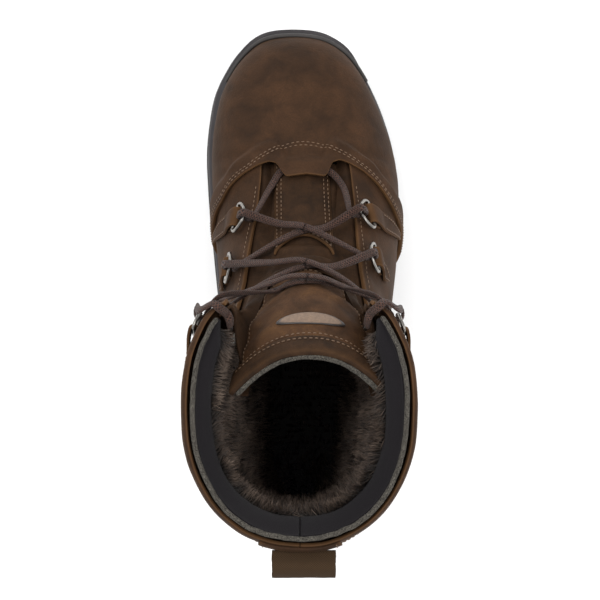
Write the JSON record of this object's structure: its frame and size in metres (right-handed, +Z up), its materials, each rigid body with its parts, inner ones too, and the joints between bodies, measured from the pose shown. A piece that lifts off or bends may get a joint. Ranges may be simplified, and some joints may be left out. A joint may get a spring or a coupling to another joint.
{
  "type": "insulated hunting boot",
  "caption": "Insulated lace-up hunting boot for the right foot, with a tilting padded tongue, swinging lace rings and a pull loop.",
  "frame": {"origin": "on the floor under the middle of the boot's box", "axes": "+Y towards the toe, +X towards the outer side of the right foot, +Z up"},
  "size_m": [0.1208, 0.307, 0.218],
  "materials": {
    "nubuck": "matt brown nubuck, lighter where it is creased or rubbed",
    "tongue_nubuck": "matt dark brown nubuck",
    "rubber": "matt moulded rubber",
    "foam_rubber": "matt moulded foam rubber",
    "steel": "dull plated steel wire",
    "spring_steel": "plain steel strip",
    "board": "pressed fibre board",
    "felt": "pressed grey felt",
    "black_cloth": "black woven lining cloth",
    "fur": "dark brown-grey pile",
    "wadding": "needled thermal wadding",
    "foam": "open-cell foam",
    "cord": "flat braided polyester lace",
    "webbing": "brown woven webbing",
    "patch": "plain copper-brown label leather with a dark edge",
    "plastic": "dark shrunk plastic film"
  },
  "bodies": {
    "boot": {"aglet_lateral": "plastic", "aglet_medial": "plastic", "backstay": "nubuck", "collar_facing_lateral": "black_cloth", "collar_facing_medial": "black_cloth", "collar_felt": "felt", "collar_pad_lateral": "foam", "collar_pad_medial": "foam", "footbed": "fur", "gusset_lateral": "tongue_nubuck", "gusset_medial": "tongue_nubuck", "heel_cap_lateral": "nubuck", "heel_cap_medial": "nubuck", "heel_counter_lateral": "board", "heel_counter_medial": "board", "insole_board": "board", "insulation_lateral": "wadding", "insulation_medial": "wadding", "insulation_vamp": "wadding", "lace": "cord", "lining_lateral": "fur", "lining_medial": "fur", "lining_vamp": "fur", "midsole": "foam_rubber", "outsole": "rubber", "quarter_lateral": "nubuck", "quarter_medial": "nubuck", "ring_tab_1_lateral": "nubuck", "ring_tab_1_medial": "nubuck", "ring_tab_2_lateral": "nubuck", "ring_tab_2_medial": "nubuck", "ring_tab_3_lateral": "nubuck", "ring_tab_3_medial": "nubuck", "ring_tab_4_lateral": "nubuck", "ring_tab_4_medial": "nubuck", "shank": "spring_steel", "toe_puff": "board", "toe_rand": "rubber", "tongue_flex": "tongue_nubuck", "tongue_lining_lower": "fur", "tongue_lower": "tongue_nubuck", "vamp": "nubuck"},
    "tongue_top": {"tongue_upper": "tongue_nubuck", "tongue_pad": "foam", "tongue_band": "tongue_nubuck", "tongue_lining_upper": "fur", "tongue_felt": "felt", "tongue_patch": "patch"},
    "pull_loop": {"pull_loop": "webbing"},
    "d_ring_1_lateral": {"d_ring_1_lateral": "steel"},
    "d_ring_1_medial": {"d_ring_1_medial": "steel"},
    "d_ring_2_lateral": {"d_ring_2_lateral": "steel"},
    "d_ring_2_medial": {"d_ring_2_medial": "steel"},
    "d_ring_3_lateral": {"d_ring_3_lateral": "steel"},
    "d_ring_3_medial": {"d_ring_3_medial": "steel"},
    "d_ring_4_lateral": {"d_ring_4_lateral": "steel"},
    "d_ring_4_medial": {"d_ring_4_medial": "steel"}
  },
  "joints": [
    {"name": "tongue_hinge", "type": "hinge", "parent": "boot", "child": "tongue_top", "pos_m": [0.00234, 0.00704, 0.14211], "axis": [1, 0, 0], "range_deg": [0, 15], "deforming": ["gusset_lateral", "gusset_medial", "lace"]},
    {"name": "pull_loop_hinge", "type": "hinge", "parent": "boot", "child": "pull_loop", "pos_m": [-0.00051, -0.13557, 0.206], "axis": [1, 0, 0], "range_deg": [-30, 20]},
    {"name": "d_ring_1_lateral_hinge", "type": "hinge", "parent": "boot", "child": "d_ring_1_lateral", "pos_m": [0.03886, 0.0414, 0.10114], "axis": [-0.2543, 0.9188, -0.3019], "range_deg": [-8, 25], "deforming": ["lace"]},
    {"name": "d_ring_1_medial_hinge", "type": "hinge", "parent": "boot", "child": "d_ring_1_medial", "pos_m": [-0.03621, 0.03983, 0.09656], "axis": [-0.2264, -0.9517, 0.2072], "range_deg": [-8, 25], "deforming": ["lace"]},
    {"name": "d_ring_2_lateral_hinge", "type": "hinge", "parent": "boot", "child": "d_ring_2_lateral", "pos_m": [0.04161, 0.01715, 0.11068], "axis": [-0.1769, 0.9657, -0.1899], "range_deg": [-8, 25], "deforming": ["lace"]},
    {"name": "d_ring_2_medial_hinge", "type": "hinge", "parent": "boot", "child": "d_ring_2_medial", "pos_m": [-0.04082, 0.01179, 0.10161], "axis": [-0.1446, -0.9828, 0.1148], "range_deg": [-8, 25], "deforming": ["lace"]},
    {"name": "d_ring_3_lateral_hinge", "type": "hinge", "parent": "boot", "child": "d_ring_3_lateral", "pos_m": [0.04682, -0.02428, 0.15203], "axis": [0.0003, -0.2321, -0.9727], "range_deg": [-8, 25], "deforming": ["lace"]},
    {"name": "d_ring_3_medial_hinge", "type": "hinge", "parent": "boot", "child": "d_ring_3_medial", "pos_m": [-0.04703, -0.02443, 0.15162], "axis": [-0.0624, 0.2401, 0.9687], "range_deg": [-8, 25], "deforming": ["lace"]},
    {"name": "d_ring_4_lateral_hinge", "type": "hinge", "parent": "boot", "child": "d_ring_4_lateral", "pos_m": [0.05331, -0.02396, 0.19377], "axis": [0.003, -0.2853, -0.9584], "range_deg": [-8, 25], "deforming": ["lace"]},
    {"name": "d_ring_4_medial_hinge", "type": "hinge", "parent": "boot", "child": "d_ring_4_medial", "pos_m": [-0.05562, -0.02286, 0.19406], "axis": [0.0076, 0.2844, 0.9587], "range_deg": [-8, 25], "deforming": ["lace"]}
  ]
}
